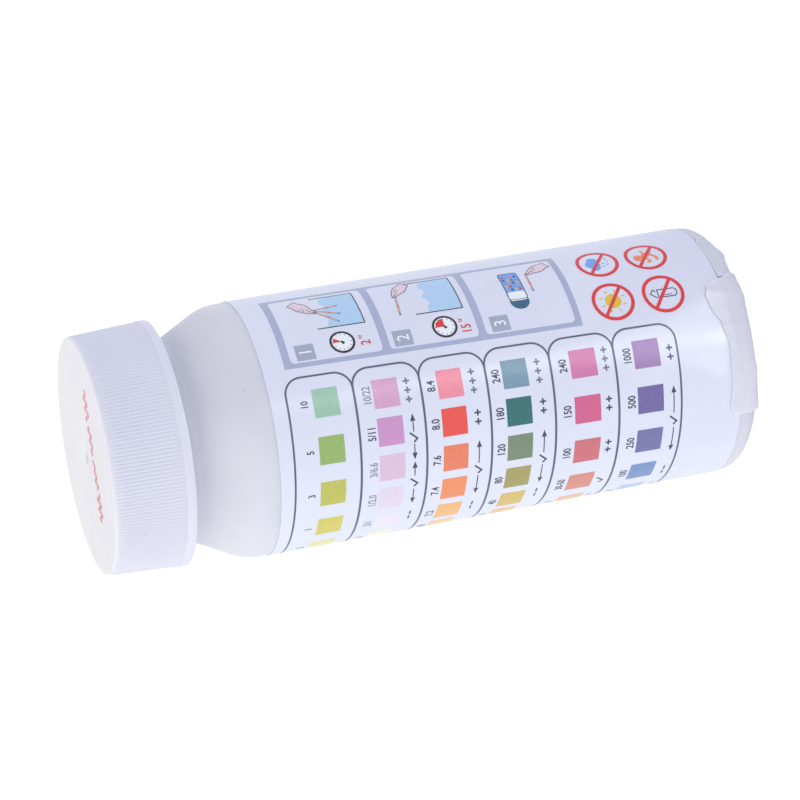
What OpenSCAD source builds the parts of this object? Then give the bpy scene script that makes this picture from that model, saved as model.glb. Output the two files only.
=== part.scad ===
// Bottle of dip-and-read water test strips: a capped plastic bottle with a wrap-round colour
// chart, a desiccant cap, and fifty strips inside.  Millimetres.  The bottle stands on its base
// at z = 0, +Z points to the cap, and the colour chart faces -Y.

/* [Bottle] */
// Radius of the bottle's straight wall
body_r = 19.85; // [15:0.05:25]
// Wall thickness of body and shoulder
wall = 1.1; // [0.8:0.1:1.6]
// Height where the straight wall ends and the shoulder starts
wall_top_z = 80; // [60:0.5:90]
// Radius of the rounded heel
heel_r = 2.5; // [1:0.1:4]
// Depth of the recess under the base
push_up = 0.8; // [0.4:0.1:1.6]
// Radius where the recess under the base starts
recess_r = 14; // [10:0.5:16]
// Height of the inside floor
floor_z = 2.0; // [1.4:0.1:3]
// Radius of the curve between wall and shoulder
shoulder_r = 8; // [4:0.5:10]
// Half angle of the conical shoulder
shoulder_deg = 28; // [15:1:45]
// Outer radius of the neck
neck_r = 15.9; // [12:0.1:17]
// Radius of the mouth
mouth_r = 14.3; // [11:0.1:15]
// Height of the mouth rim
rim_z = 101.6; // [95:0.1:110]

/* [Thread] */
// Rise of the thread in one turn
pitch = 4.23; // [3:0.01:5]
// Turns of thread on the neck
neck_turns = 1.25; // [1:0.05:2]
// Crest radius of the neck thread
neck_crest_r = 16.95; // [16.2:0.05:17.2]
// Height of the middle of the neck thread where it starts
neck_thread_z = 93.1; // [92:0.1:96]
// Crest radius of the cap thread
cap_crest_r = 17.12; // [17.05:0.01:17.5]
// Turns of thread in the cap
cap_turns = 1.25; // [1:0.05:2]
// Height of the middle of the cap thread where it starts
cap_thread_z = 95.2; // [93:0.1:98]

/* [Cap] */
// Height of the cap's top face
top_z = 103.7; // [100:0.1:112]
// Height of the cap's lower edge
skirt_z = 91.3; // [88:0.1:96]
// Height of the smooth band at the lower edge
band_h = 1.45; // [0.5:0.05:3]
// Radius of the smooth band
band_r = 19.2; // [18:0.05:20]
// Number of grip ribs
ribs = 200; // [60:4:240]
// Radius over the grip ribs
rib_tip_r = 18.9; // [18:0.05:20]
// Radius between the grip ribs
rib_root_r = 18.65; // [18:0.05:20]
// Inner radius of the skirt
skirt_in_r = 17.6; // [17:0.05:18]
// Thickness of the top plate
plate_t = 1.3; // [0.8:0.1:2]
// Rounding of the top edge
edge_r = 0.8; // [0.3:0.1:1.5]

/* [Desiccant chamber] */
// Outer radius of the chamber ring under the cap
ring_out_r = 14.05; // [12:0.05:14.2]
// Inner radius of the chamber ring
ring_in_r = 13.0; // [11:0.05:13.4]
// Height of the ring's lower edge
ring_z = 93.4; // [92:0.1:98]
// Inner radius of the lip that holds the disc
lip_r = 12.6; // [11:0.1:12.9]
// Thickness of the paperboard disc
disc_t = 0.8; // [0.5:0.1:1.2]
// Diameter of one desiccant bead
bead_d = 3.5; // [2.5:0.1:4]

/* [Label] */
// Outer radius of the wrap-round label
label_r = 20.0; // [19.9:0.01:25]
// Thickness of the label
label_t = 0.13; // [0.08:0.01:0.2]
// Lower edge of the label
label_z0 = 3.5; // [2.5:0.1:6]
// Upper edge of the label
label_z1 = 78.56; // [60:0.1:80]
// Gap at the label's seam, along the surface
seam = 0.3; // [0.1:0.1:1]
// Angle covered by the clear tab across the heel
tab_deg = 66; // [30:1:90]
// Upper edge of the tab
tab_z = 6.0; // [4:0.1:9]
// Thickness of the tab
tab_t = 0.12; // [0.05:0.01:0.2]

/* [Strips] */
// Length of one strip
strip_l = 83; // [70:1:90]
// Width of one strip
strip_w = 5; // [4:0.5:6]
// Thickness of the plastic backing
backing_t = 0.3; // [0.2:0.05:0.5]
// Thickness of the adhesive film
film_t = 0.05; // [0.03:0.01:0.1]
// Thickness of a reagent pad
pad_t = 0.45; // [0.3:0.05:0.6]
// Distance from one pad to the next along the strip
pad_pitch = 7.5; // [6:0.5:10]
// Distance from one strip to the next across the bundle
col_pitch = 5.2; // [5.1:0.1:6]
// Distance from one strip to the next through the bundle
row_pitch = 0.95; // [0.85:0.05:1.2]
// Columns of strips
cols = 4; // [1:1:4]
// Rows of strips
rows = 13; // [1:1:14]

/* [Hidden] */
$fn = 96;

eps = 0.01;
plate_z = top_z - plate_t;
strip_z = floor_z + 0.1;
front_y = -(rows - 1) / 2 * row_pitch;
drawn_col = 1;
// bundle places: every column and row, less the drawn strip's and two corners, leaving 49
places = [
  for (c = [0 : cols - 1], r = [0 : rows - 1])
    if (!(c == drawn_col && r == 0) && !(r == rows - 1 && (c == 0 || c == cols - 1)))
      [(c - (cols - 1) / 2) * col_pitch, front_y + r * row_pitch]
];
drawn_at = [(drawn_col - (cols - 1) / 2) * col_pitch, front_y];
pad_colours = [
  [0.97, 0.96, 0.92], [0.95, 0.94, 0.88], [0.93, 0.66, 0.32],
  [0.86, 0.80, 0.42], [0.91, 0.72, 0.40], [0.30, 0.36, 0.50]
];

function arc(c, r, a0, a1, n = 12) =
  [for (i = [0 : n]) let (a = a0 + (a1 - a0) * i / n) c + r * [cos(a), sin(a)]];

// [r, z] where the conical shoulder, at offset d inside the outer surface, reaches radius r
function shoulder_at(d, r) =
  let (p = [body_r - shoulder_r, wall_top_z] + (shoulder_r - d) * [cos(shoulder_deg), sin(shoulder_deg)])
  [r, p[1] + (p[0] - r) / tan(shoulder_deg)];

// closed ridge that winds up round +Z: r0 is buried in the wall, r1 is the crest, w the root width
module thread_ridge(r0, r1, z0, turns, w, crest_w, steps = 36) {
  n = round(turns * steps);
  ease = 5;
  function grow(i) = min(1, i / ease, (n - i) / ease);
  pts = [
    for (i = [0 : n])
      let (a = 360 * i / steps, z = z0 + pitch * i / steps, g = max(0.04, grow(i)), r = r0 + (r1 - r0) * g)
        each [
          [r0 * cos(a), r0 * sin(a), z - w / 2],
          [r0 * cos(a), r0 * sin(a), z + w / 2],
          [r * cos(a), r * sin(a), z + crest_w / 2],
          [r * cos(a), r * sin(a), z - crest_w / 2]
        ]
  ];
  flip = r1 < r0;
  quads = [
    for (i = [0 : n - 1], k = [0 : 3])
      let (a = 4 * i + k, b = 4 * i + (k + 1) % 4)
        each [[a, b, b + 4], [a, b + 4, a + 4]]
  ];
  ends = [[3, 2, 1], [3, 1, 0], [4 * n, 4 * n + 1, 4 * n + 2], [4 * n, 4 * n + 2, 4 * n + 3]];
  faces = concat(quads, ends);
  polyhedron(points = pts, faces = flip ? faces : [for (f = faces) [f[2], f[1], f[0]]]);
}

module bottle() {
  heel_c = [body_r - heel_r, heel_r];
  shoulder_c = [body_r - shoulder_r, wall_top_z];
  in_r = body_r - wall;
  outer = concat(
    [[0, push_up], [recess_r - 1, push_up], [recess_r, 0]],
    arc(heel_c, heel_r, -90, 0),
    arc(shoulder_c, shoulder_r, 0, shoulder_deg),
    [shoulder_at(0, neck_r), [neck_r, rim_z - 0.4], [neck_r - 0.4, rim_z]]
  );
  inner = concat(
    [[mouth_r + 0.3, rim_z], [mouth_r, rim_z - 0.3], shoulder_at(wall, mouth_r)],
    arc(shoulder_c, shoulder_r - wall, shoulder_deg, 0),
    arc([in_r - 1.4, floor_z + 1.4], 1.4, 0, -90),
    [[0, floor_z]]
  );
  color([0.95, 0.95, 0.96]) {
    rotate_extrude() polygon(concat(outer, inner));
    thread_ridge(neck_r - 0.3, neck_crest_r, neck_thread_z, neck_turns, 2.0, 0.7);
  }
}

module wrap_label() {
  gap = seam / label_r * 180 / PI;
  color([0.86, 0.87, 0.94])
    rotate([0, 0, 90 + gap / 2])
      rotate_extrude(angle = 360 - gap)
        translate([label_r - label_t, label_z0]) square([label_t, label_z1 - label_z0]);
}

module base_sticker() {
  c = [body_r - heel_r, heel_r];
  profile = concat(
    [[label_r + 0.03, tab_z], [label_r + 0.03, label_z0 - 0.05], [body_r + 0.03, label_z0 - 0.4]],
    arc(c, heel_r + 0.03, 0, -65),
    arc(c, heel_r + 0.03 + tab_t, -65, 0),
    [[body_r + 0.03 + tab_t, label_z0 - 0.4], [label_r + 0.03 + tab_t, label_z0 - 0.05],
     [label_r + 0.03 + tab_t, tab_z]]
  );
  color([0.93, 0.91, 0.93, 0.8])
    rotate([0, 0, -90 - tab_deg / 2]) rotate_extrude(angle = tab_deg) polygon(profile);
}

module cap_shell() {
  band_z = skirt_z + band_h;
  core_r = rib_root_r - 0.15;
  shell = concat(
    [[skirt_in_r, skirt_z], [band_r - 0.3, skirt_z], [band_r, skirt_z + 0.3], [band_r, band_z], [core_r, band_z]],
    [[core_r, top_z - edge_r]],
    arc([core_r - edge_r, top_z - edge_r], edge_r, 0, 90),
    [[0, top_z], [0, plate_z], [ring_in_r, plate_z], [ring_in_r, ring_z + 0.6], [lip_r, ring_z + 0.6],
     [lip_r, ring_z], [ring_out_r - 0.3, ring_z], [ring_out_r, ring_z + 0.3], [ring_out_r, plate_z],
     [skirt_in_r, plate_z]]
  );
  star = [
    for (i = [0 : 2 * ribs - 1])
      let (a = 180 * i / ribs, r = i % 2 == 0 ? rib_tip_r : rib_root_r) r * [cos(a), sin(a)]
  ];
  color([0.93, 0.93, 0.94]) {
    difference() {
      union() {
        rotate_extrude() polygon(shell);
        translate([0, 0, band_z - 0.1])
          linear_extrude(height = top_z - edge_r - band_z + 0.1)
            difference() {
              polygon(star);
              circle(r = skirt_in_r + 0.3);
            }
      }
      // gate mark in the middle of the top face
      translate([0, 0, top_z - 0.25]) difference() {
        cylinder(r = 1.1, h = 1);
        cylinder(r = 0.45, h = 0.2);
      }
    }
    thread_ridge(skirt_in_r + 0.2, cap_crest_r, cap_thread_z, cap_turns, 1.6, 0.6);
  }
}

module cap_liner() {
  color([0.97, 0.97, 0.97]) translate([0, 0, rim_z]) difference() {
    cylinder(r = 16.8, h = plate_z - rim_z);
    translate([0, 0, -1]) cylinder(r = ring_out_r + 0.15, h = plate_z - rim_z + 2);
  }
}

module desiccant_disc() {
  color([0.80, 0.74, 0.62]) translate([0, 0, ring_z + 0.62]) cylinder(r = ring_in_r - 0.05, h = disc_t);
}

module desiccant_beads() {
  step = bead_d + 0.05;
  z1 = ring_z + 0.64 + disc_t + bead_d / 2;
  z2 = z1 + step * sqrt(2 / 3);
  reach = ring_in_r - bead_d / 2 - 0.05;
  color([0.92, 0.86, 0.74])
    for (layer = [0, 1], i = [-4 : 4], j = [-4 : 4]) {
      p = [step * (i + j / 2) + layer * step / 2, step * j * sqrt(3) / 2 + layer * step / (2 * sqrt(3))];
      if (norm(p) <= reach) translate([p[0], p[1], layer == 0 ? z1 : z2]) sphere(d = bead_d);
    }
}

// strip pieces, drawn with the strip's lower edge at z = 0 and its middle at x = 0; pads face -Y
module backing() {
  translate([-strip_w / 2, 0, 0]) cube([strip_w, backing_t, strip_l]);
}

module film() {
  translate([-strip_w / 2, -film_t, 0]) cube([strip_w, film_t, 5 * pad_pitch + strip_w + 0.5]);
}

module pad(k) {
  translate([-strip_w / 2, -film_t - pad_t, 0.25 + k * pad_pitch]) cube([strip_w, pad_t, strip_w]);
}

module in_bundle() {
  for (p = places) translate([p[0], p[1], strip_z]) children();
}

module drawn() {
  translate([drawn_at[0], drawn_at[1], strip_z]) children();
}

module bundle_backings() color([0.96, 0.96, 0.95]) in_bundle() backing();
module bundle_adhesive() color([0.90, 0.90, 0.86]) in_bundle() film();
module bundle_pads(k) color(pad_colours[k]) in_bundle() pad(k);
module bundle_pads_total_chlorine() bundle_pads(0);
module bundle_pads_free_chlorine() bundle_pads(1);
module bundle_pads_ph() bundle_pads(2);
module bundle_pads_alkalinity() bundle_pads(3);
module bundle_pads_stabiliser() bundle_pads(4);
module bundle_pads_hardness() bundle_pads(5);

module strip_backing() color([0.96, 0.96, 0.95]) drawn() backing();
module strip_adhesive() color([0.90, 0.90, 0.86]) drawn() film();
module strip_pad(k) color(pad_colours[k]) drawn() pad(k);
module strip_pad_total_chlorine() strip_pad(0);
module strip_pad_free_chlorine() strip_pad(1);
module strip_pad_ph() strip_pad(2);
module strip_pad_alkalinity() strip_pad(3);
module strip_pad_stabiliser() strip_pad(4);
module strip_pad_hardness() strip_pad(5);

bottle();
wrap_label();
base_sticker();
cap_shell();
cap_liner();
desiccant_disc();
desiccant_beads();
bundle_backings();
bundle_adhesive();
bundle_pads_total_chlorine();
bundle_pads_free_chlorine();
bundle_pads_ph();
bundle_pads_alkalinity();
bundle_pads_stabiliser();
bundle_pads_hardness();
strip_backing();
strip_adhesive();
strip_pad_total_chlorine();
strip_pad_free_chlorine();
strip_pad_ph();
strip_pad_alkalinity();
strip_pad_stabiliser();
strip_pad_hardness();
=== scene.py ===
import math

import bmesh
import bpy
from mathutils import Matrix, Vector, noise
from mathutils.geometry import tessellate_polygon


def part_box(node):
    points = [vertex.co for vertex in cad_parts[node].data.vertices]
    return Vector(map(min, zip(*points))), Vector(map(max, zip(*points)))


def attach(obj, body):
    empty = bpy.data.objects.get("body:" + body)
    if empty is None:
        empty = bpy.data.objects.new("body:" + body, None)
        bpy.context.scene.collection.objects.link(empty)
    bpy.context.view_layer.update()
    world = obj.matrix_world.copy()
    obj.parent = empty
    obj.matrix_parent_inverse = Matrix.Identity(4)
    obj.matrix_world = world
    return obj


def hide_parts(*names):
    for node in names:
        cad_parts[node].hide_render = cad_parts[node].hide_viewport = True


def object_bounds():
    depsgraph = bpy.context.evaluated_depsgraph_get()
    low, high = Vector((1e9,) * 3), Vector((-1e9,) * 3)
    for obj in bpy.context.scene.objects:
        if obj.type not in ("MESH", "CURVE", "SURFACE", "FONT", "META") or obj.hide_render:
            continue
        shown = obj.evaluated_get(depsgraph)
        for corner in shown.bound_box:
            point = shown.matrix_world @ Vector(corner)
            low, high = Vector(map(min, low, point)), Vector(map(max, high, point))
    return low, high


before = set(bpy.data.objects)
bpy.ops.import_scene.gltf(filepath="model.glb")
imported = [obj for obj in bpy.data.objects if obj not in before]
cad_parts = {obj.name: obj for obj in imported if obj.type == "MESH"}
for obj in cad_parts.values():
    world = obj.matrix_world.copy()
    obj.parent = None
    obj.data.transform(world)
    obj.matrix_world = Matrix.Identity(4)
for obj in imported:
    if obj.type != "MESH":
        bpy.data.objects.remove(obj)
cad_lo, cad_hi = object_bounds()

MM = 0.001
FULL = 2 * math.pi
scene = bpy.context.scene
scene.view_settings.view_transform = "Standard"

# -------------------------------------------- sizes in mm, outsides from the CAD
TOP_Z = cad_hi.z / MM
label_lo, label_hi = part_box("wrap_label")
LABEL_R = label_hi.x / MM
LABEL_Z0 = label_lo.z / MM
LABEL_Z1 = label_hi.z / MM
bottle_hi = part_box("bottle")[1]
BODY_R = bottle_hi.x / MM
RIM_Z = bottle_hi.z / MM
cap_lo, cap_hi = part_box("cap_shell")
BAND_R = cap_hi.x / MM
SKIRT_Z = cap_lo.z / MM

WALL = 1.1
HEEL_R = 2.5
SHOULDER_R = 8.0
SHOULDER_Z = 80.0
SLOPE = 28               # degrees off upright where the shoulder turns straight towards the neck
NECK_R = 15.9
MOUTH_R = 14.3
RECESS_Z = 0.8
PITCH = 4.23             # of the thread, with its turns
TURNS = 1.25
WELD_L = 19.0            # pinched weld under the base
WELD_W = 0.9
WELD_H = 0.22

RIBS = 200               # round the cap
RIB_STEPS = 6            # mesh steps across one rib
RIB_DEPTH = 0.2
RIB_Z0 = SKIRT_Z + 1.45
RIB_Z1 = 103.3
RIB_LOW_R = 18.92        # the ribbed wall leans in from here
RIB_HIGH_R = 18.38       # to here
FACE_R = 18.2            # edge of the cap's flat face
FACE_EDGE = 0.22
CAP_IN_R = 17.6
ROOF_Z = TOP_Z - 1.3     # underside of the cap's face
SHADED_SIDE_Z = (0.1031, 0.1036)  # m, heights over which the painted shade on the cap's side fades out under its face
CHAMBER_R = 13.0         # ring that holds the beads
CHAMBER_OUT_R = 14.05
LIP_Z = 93.4
DISC_Z = LIP_Z + 0.64
DISC_T = 0.8
BEAD_R = 1.75
BEAD_STEP = 3.55

SKEW = -0.02135          # the chart is stuck on very slightly askew
ART_Z = 43.2             # height of the chart's own zero
TURN_Z = 65.69           # height at which the askew chart is not shifted sideways
INK_LIFT = 0.004         # lowest ink over the film, the step to the next layer, and one slab's thickness
INK_STEP = 0.012
INK_THICK = 0.010


# -------------------------------------------- shader helpers
def lin(rgb, gain=1.0):
    """A display colour of 0 to 255 as linear RGBA."""
    out = []
    for level in rgb:
        v = level / 255
        v = v / 12.92 if v <= 0.04045 else ((v + 0.055) / 1.055) ** 2.4
        out.append(min(1.0, v * gain))
    return (*out, 1.0)


def build(name):
    """A new material with its node tree, Principled shader and object coordinates."""
    m = bpy.data.materials.new(name)
    m.use_nodes = True
    nt = m.node_tree
    nt.nodes.clear()
    out = nt.nodes.new("ShaderNodeOutputMaterial")
    p = nt.nodes.new("ShaderNodeBsdfPrincipled")
    nt.links.new(p.outputs[0], out.inputs[0])
    co = nt.nodes.new("ShaderNodeTexCoord")
    return m, nt, p, co.outputs["Object"]


def texture(nt, co, kind, scale):
    n = nt.nodes.new("ShaderNodeTex" + kind)
    n.inputs["Scale"].default_value = scale
    nt.links.new(co, n.inputs["Vector"])
    return n


def tex(nt, co, scale, detail=3, rough=0.5):
    n = texture(nt, co, "Noise", scale)
    n.inputs["Detail"].default_value = detail
    n.inputs["Roughness"].default_value = rough
    return n.outputs["Fac"]


def ramp(nt, fac, a, b, lo=0.3, hi=0.7, kind="SMOOTHSTEP"):
    """Value that goes from a to b while fac goes from lo to hi."""
    r = nt.nodes.new("ShaderNodeMapRange")
    r.interpolation_type = kind
    for name, value in (("From Min", lo), ("From Max", hi), ("To Min", a), ("To Max", b)):
        r.inputs[name].default_value = value
    nt.links.new(fac, r.inputs["Value"])
    return r.outputs[0]


def mix(nt, fac, a, b):
    """Colour between a and b, each of them a colour or a socket."""
    m = nt.nodes.new("ShaderNodeMix")
    m.data_type = "RGBA"
    nt.links.new(fac, m.inputs[0])
    for sock, v in ((m.inputs[6], a), (m.inputs[7], b)):
        if isinstance(v, tuple):
            sock.default_value = v
        else:
            nt.links.new(v, sock)
    return m.outputs[2]


def bump(nt, p, height, strength, depth):
    """Bump of a depth in mm, added to any that the shader has already."""
    b = nt.nodes.new("ShaderNodeBump")
    b.inputs["Strength"].default_value = strength
    b.inputs["Distance"].default_value = depth * MM
    nt.links.new(height, b.inputs["Height"])
    if p.inputs["Normal"].links:
        nt.links.new(p.inputs["Normal"].links[0].from_socket, b.inputs["Normal"])
    nt.links.new(b.outputs[0], p.inputs["Normal"])


def scatter(p, weight, radii):
    p.inputs["Subsurface Weight"].default_value = weight
    p.inputs["Subsurface Radius"].default_value = radii
    p.inputs["Subsurface Scale"].default_value = 1.0


def dimmed(colour, k):
    return tuple(v * k for v in colour[:3]) + (1,)


# -------------------------------------------- materials
SPECK = lin((168, 158, 140))


def plastic(name, a, b, rough, sss=0.0, grain=0.02, specks=0.0, side_shade=None):
    """Moulded plastic between two colours; the last argument is a painted shade for the cap's side below its
    face, a darker and bluer colour there.
    """
    m, nt, p, co = build(name)
    colour = mix(nt, ramp(nt, tex(nt, co, 60, 4), 0, 1, 0.35, 0.65), lin(a), lin(b))
    # painted shade: the cap's ribbed side below its face gets a darker, bluer colour than the face
    if side_shade:
        sep = nt.nodes.new("ShaderNodeSeparateXYZ")
        nt.links.new(co, sep.inputs[0])
        below = ramp(nt, sep.outputs["Z"], 1, 0, *SHADED_SIDE_Z, "LINEAR")
        colour = mix(nt, below, colour, lin(side_shade))
    if specks:
        spots = texture(nt, co, "Voronoi", 170).outputs["Distance"]
        colour = mix(nt, ramp(nt, spots, specks, 0.0, 0.008, 0.03), colour, SPECK)
    nt.links.new(colour, p.inputs["Base Color"])
    nt.links.new(ramp(nt, tex(nt, co, 90), rough - 0.03, rough + 0.06), p.inputs["Roughness"])
    if sss:
        scatter(p, sss, (0.003, 0.0028, 0.0026))
    bump(nt, p, tex(nt, co, 160, 2), 0.25, grain * 4)
    bump(nt, p, tex(nt, co, 2500), 0.25, grain)
    return m


def ink(name, rgb, gain=1.0, spread=0.06, rough=0.21):
    """Printed ink with a fine grain round its colour."""
    m, nt, p, co = build(name)
    base = lin(rgb, gain)
    dark = dimmed(base, 1 - spread * 2.2)
    pale = tuple(min(1, v * (1 + spread) + spread * 0.25) for v in base[:3]) + (1,)
    colour = mix(nt, ramp(nt, tex(nt, co, 5200, 2, 0.7), 0, 1), dark, pale)
    colour = mix(nt, ramp(nt, tex(nt, co, 500), 0, 0.35), colour, base)
    nt.links.new(colour, p.inputs["Base Color"])
    nt.links.new(ramp(nt, tex(nt, co, 700), rough - 0.04, rough + 0.07), p.inputs["Roughness"])
    bump(nt, p, tex(nt, co, 140), 0.2, 0.12)
    return m


def paper(name, a, b, scale=2600, depth=0.05, rough=0.75):
    """Fibrous or foamed stuff: paperboard, foam, beads and reagent pads."""
    m, nt, p, co = build(name)
    weave = tex(nt, co, scale, 6, 0.75)
    colour = mix(nt, ramp(nt, tex(nt, co, scale / 7), 0, 1), lin(a), lin(b))
    colour = mix(nt, ramp(nt, weave, 0, 0.25), colour, dimmed(lin(a), 0.8))
    nt.links.new(colour, p.inputs["Base Color"])
    p.inputs["Roughness"].default_value = rough
    bump(nt, p, weave, 0.6, depth)
    return m


def tab_material():
    """Thin milky film, slightly glossy."""
    m, nt, p, co = build("clear_tab")
    colour = mix(nt, ramp(nt, tex(nt, co, 120, 4), 0, 1), lin((247, 247, 255)), lin((242, 242, 253)))
    nt.links.new(colour, p.inputs["Base Color"])
    nt.links.new(ramp(nt, tex(nt, co, 500, 4), 0.22, 0.42), p.inputs["Roughness"])
    scatter(p, 0.3, (0.001, 0.001, 0.001))
    bump(nt, p, tex(nt, co, 220, 2), 0.25, 0.05)
    bump(nt, p, tex(nt, co, 2600), 0.25, 0.02)
    return m


bottle_plastic = plastic("bottle_plastic", (227, 227, 234), (221, 221, 230), 0.34, 0.25, 0.012, 0.8)
# the cap's face has its own tones; its ribbed side under the face carries a painted shade, darker and bluer
cap_plastic = plastic("cap_plastic", (240, 239, 240), (236, 235, 237), 0.38, 0.12, 0.003, 0.6,
                      side_shade=(229, 230, 241))
label_film = plastic("label_film", (231, 235, 248), (228, 232, 246), 0.19, grain=0.003)
strip_plastic = plastic("strip_plastic", (240, 240, 236), (232, 232, 228), 0.3, 0.1, 0.01)
adhesive = plastic("adhesive_film", (222, 220, 205), (212, 208, 190), 0.4)
foam = paper("liner_foam", (244, 244, 242), (232, 232, 228), 3800, 0.06, 0.6)
board = paper("paperboard", (196, 180, 150), (178, 160, 128), 900, 0.1, 0.85)
bead_mat = paper("desiccant", (222, 205, 172), (196, 176, 140), 1500, 0.12, 0.7)
tab_film = tab_material()
PADS = {
    "total_chlorine": ((246, 244, 232), (238, 236, 220)),
    "free_chlorine": ((242, 240, 224), (250, 246, 232)),
    "ph": ((236, 170, 88), (226, 152, 70)),
    "alkalinity": ((216, 202, 108), (204, 190, 90)),
    "stabiliser": ((228, 186, 104), (218, 172, 92)),
    "hardness": ((70, 86, 120), (58, 72, 106)),
}


def coat(node, m):
    """Gives a carried-over CAD node its material."""
    mats = bpy.data.objects[node].data.materials
    mats.clear()
    mats.append(m)


for node in ("bundle_backings", "strip_backing"):
    coat(node, strip_plastic)
for node in ("bundle_adhesive", "strip_adhesive"):
    coat(node, adhesive)
for kind, (tone_a, tone_b) in PADS.items():
    pad_mat = paper("pad_" + kind, tone_a, tone_b, 2200, 0.08, 0.85)
    coat("bundle_pads_" + kind, pad_mat)
    coat("strip_pad_" + kind, pad_mat)


# -------------------------------------------- mesh helpers
def add(name, bm, mats, body, smooth=True, angle=40):
    """Turns a finished bmesh into an object with its materials, which rides a body."""
    me = bpy.data.meshes.new(name)
    bmesh.ops.recalc_face_normals(bm, faces=bm.faces)
    bm.to_mesh(me)
    bm.free()
    for m in mats:
        me.materials.append(m)
    me.polygons.foreach_set("use_smooth", [smooth] * len(me.polygons))
    o = bpy.data.objects.new(name, me)
    scene.collection.objects.link(o)
    if smooth:
        with bpy.context.temp_override(object=o, active_object=o, selected_objects=[o],
                                       selected_editable_objects=[o]):
            bpy.ops.object.shade_smooth_by_angle(angle=math.radians(angle))
    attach(o, body)
    return o


def turned(r, a, z):
    """The place at radius r, angle a and height z, in metres."""
    return (r * math.cos(a) * MM, r * math.sin(a) * MM, z * MM)


def revolve(profile, steps=192, shape=None):
    """Closed ring or disc from a closed list of (r, z) in mm; r of 0 makes one pole vertex."""
    bm = bmesh.new()
    rings = []
    for r, z in profile:
        if r < 1e-6:
            rings.append([bm.verts.new((0, 0, z * MM))])
            continue
        ring = []
        for k in range(steps):
            radius = shape(r, z, k) if shape else r
            ring.append(bm.verts.new(turned(radius, FULL * k / steps, z)))
        rings.append(ring)
    for a, b in zip(rings, rings[1:] + rings[:1]):
        if len(a) == 1 and len(b) == 1:
            continue
        for k in range(steps):
            n = (k + 1) % steps
            if len(a) == 1:
                bm.faces.new((a[0], b[k], b[n]))
            elif len(b) == 1:
                bm.faces.new((a[k], b[0], a[n]))
            else:
                bm.faces.new((a[k], b[k], b[n], a[n]))
    return bm


def loft(bm, rows):
    """Skins closed sections of equal length, one after the other, and closes both ends."""
    n = len(rows[0])
    for a, b in zip(rows, rows[1:]):
        for k in range(n):
            bm.faces.new((a[k], b[k], b[(k + 1) % n], a[(k + 1) % n]))
    bm.faces.new(rows[0])
    bm.faces.new(rows[-1])


def skin_sheet(bm, grid, across, upward):
    """Closes a thin sheet from its two grids of vertices, keyed by side, step across and step up."""
    def quad(*keys):
        bm.faces.new([grid[key] for key in keys])

    for i in range(across):
        for j in range(upward):
            for s in (0, 1):
                quad((s, i, j), (s, i + 1, j), (s, i + 1, j + 1), (s, i, j + 1))
        for j in (0, upward):
            quad((0, i, j), (0, i + 1, j), (1, i + 1, j), (1, i, j))
    for j in range(upward):
        for i in (0, across):
            quad((0, i, j), (0, i, j + 1), (1, i, j + 1), (1, i, j))


def arc(cx, cy, r, a0, a1, n=8):
    out = []
    for i in range(n + 1):
        a = math.radians(a0 + (a1 - a0) * i / n)
        out.append((cx + r * math.cos(a), cy + r * math.sin(a)))
    return out


def thread(name, r0, r1, z0, width, crest, mat, body, steps=96):
    """Thread ridge from radius r0 to its crest at r1, running out softly at both ends."""
    bm = bmesh.new()
    n = round(TURNS * steps)
    run_out = 14
    rows = []
    for i in range(n + 1):
        g = max(0.03, min(1.0, i / run_out, (n - i) / run_out))
        g = g * g * (3 - 2 * g)
        r = r0 + (r1 - r0) * g
        z = z0 + PITCH * i / steps
        soft = (r1 - r0) * 0.12 * g
        section = [(r0, z - width / 2), (r - soft, z - crest / 2 - 0.12), (r, z - crest / 2 + 0.05),
                   (r, z + crest / 2 - 0.05), (r - soft, z + crest / 2 + 0.12), (r0, z + width / 2)]
        rows.append([bm.verts.new(turned(s, FULL * i / steps, q)) for s, q in section])
    loft(bm, rows)
    add(name, bm, [mat], body)


# -------------------------------------------- bottle
HEEL = (BODY_R - HEEL_R, HEEL_R)
SHOULDER = (BODY_R - SHOULDER_R, SHOULDER_Z)


def slope_at(depth, r):
    """Point at radius r on the straight slope to the neck, a depth inside the outer surface."""
    a = math.radians(SLOPE)
    x = SHOULDER[0] + (SHOULDER_R - depth) * math.cos(a)
    z = SHOULDER[1] + (SHOULDER_R - depth) * math.sin(a)
    return (r, z + (x - r) / math.tan(a))


def straight(r, z0, z1, step=6):
    """Upright run from z0 to z1 in equal steps of about this size."""
    n = max(1, int((z1 - z0) / step))
    return [(r, z0 + (z1 - z0) * i / n) for i in range(n)] + [(r, z1)]


def bottle_shell():
    """Outside from the base up to the rim, then down the inside."""
    foot = [(0, RECESS_Z), (6, RECESS_Z), (12.6, RECESS_Z), (13.0, RECESS_Z - 0.05), (13.7, 0.12),
            (14.1, 0.0), (15.6, 0.0)]
    outer = (foot + arc(*HEEL, HEEL_R, -90, 0, 14) + straight(BODY_R, 2.6, 79.9)
             + arc(*SHOULDER, SHOULDER_R, 0, SLOPE, 12)
             + [slope_at(0, 18.0), slope_at(0, 17.0), slope_at(0, 16.35)]
             + [(NECK_R + 0.12, 89.25), (NECK_R, 89.75), (NECK_R, 92), (NECK_R, RIM_Z - 0.5)]
             + arc(NECK_R - 0.45, RIM_Z - 0.45, 0.45, 0, 90, 5))
    inner = (arc(MOUTH_R + 0.3, RIM_Z - 0.3, 0.3, 90, 180, 4) + [(MOUTH_R, 96), slope_at(WALL, MOUTH_R)]
             + arc(*SHOULDER, SHOULDER_R - WALL, SLOPE, 0, 8) + [(BODY_R - WALL, 40)]
             + arc(BODY_R - HEEL_R, 3.4, 1.4, 0, -90, 6) + [(8, 2.0), (0, 2.0)])
    shell = add("bottle_shell", revolve(outer + inner, 224), [bottle_plastic], "bottle",
                angle=50)
    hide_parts("bottle")


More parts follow.
